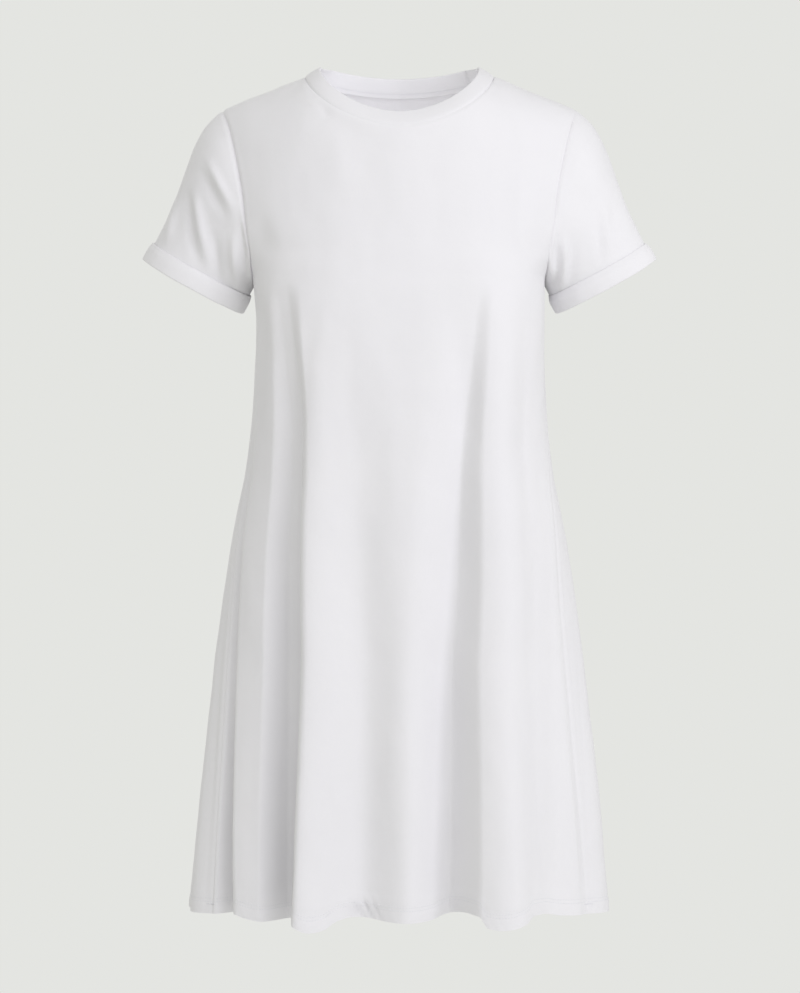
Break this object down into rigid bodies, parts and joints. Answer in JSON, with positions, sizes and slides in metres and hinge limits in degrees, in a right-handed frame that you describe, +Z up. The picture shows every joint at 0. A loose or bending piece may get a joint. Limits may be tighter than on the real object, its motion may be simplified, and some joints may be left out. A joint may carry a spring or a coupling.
{
  "type": "t-shirt dress",
  "caption": "Short-sleeved A-line cotton jersey dress with a crew neckband and turned-up cuffs, filled out as if worn and open at neck, cuffs and hem.",
  "frame": {"origin": "on the centre line, level with the two points where the shoulder seams meet the neck seam, where the wearer's shoulders hold the dress up", "axes": "+Z up, the wearer faces -Y, +X to the wearer's left (the viewer's right)"},
  "size_m": [0.5442, 0.2701, 0.8995],
  "materials": {
    "jersey_front": "matt white cotton jersey",
    "jersey_back": "matt white cotton jersey",
    "jersey_sleeves": "matt white cotton jersey",
    "jersey_cuffs": "matt white cotton jersey, three layers",
    "rib_neckband": "matt white cotton jersey, doubled"
  },
  "bodies": {
    "root": {"front": "jersey_front", "back": "jersey_back", "sleeve_left": "jersey_sleeves", "sleeve_right": "jersey_sleeves", "cuff_left": "jersey_cuffs", "cuff_right": "jersey_cuffs", "neckband": "rib_neckband"}
  },
  "joints": []
}
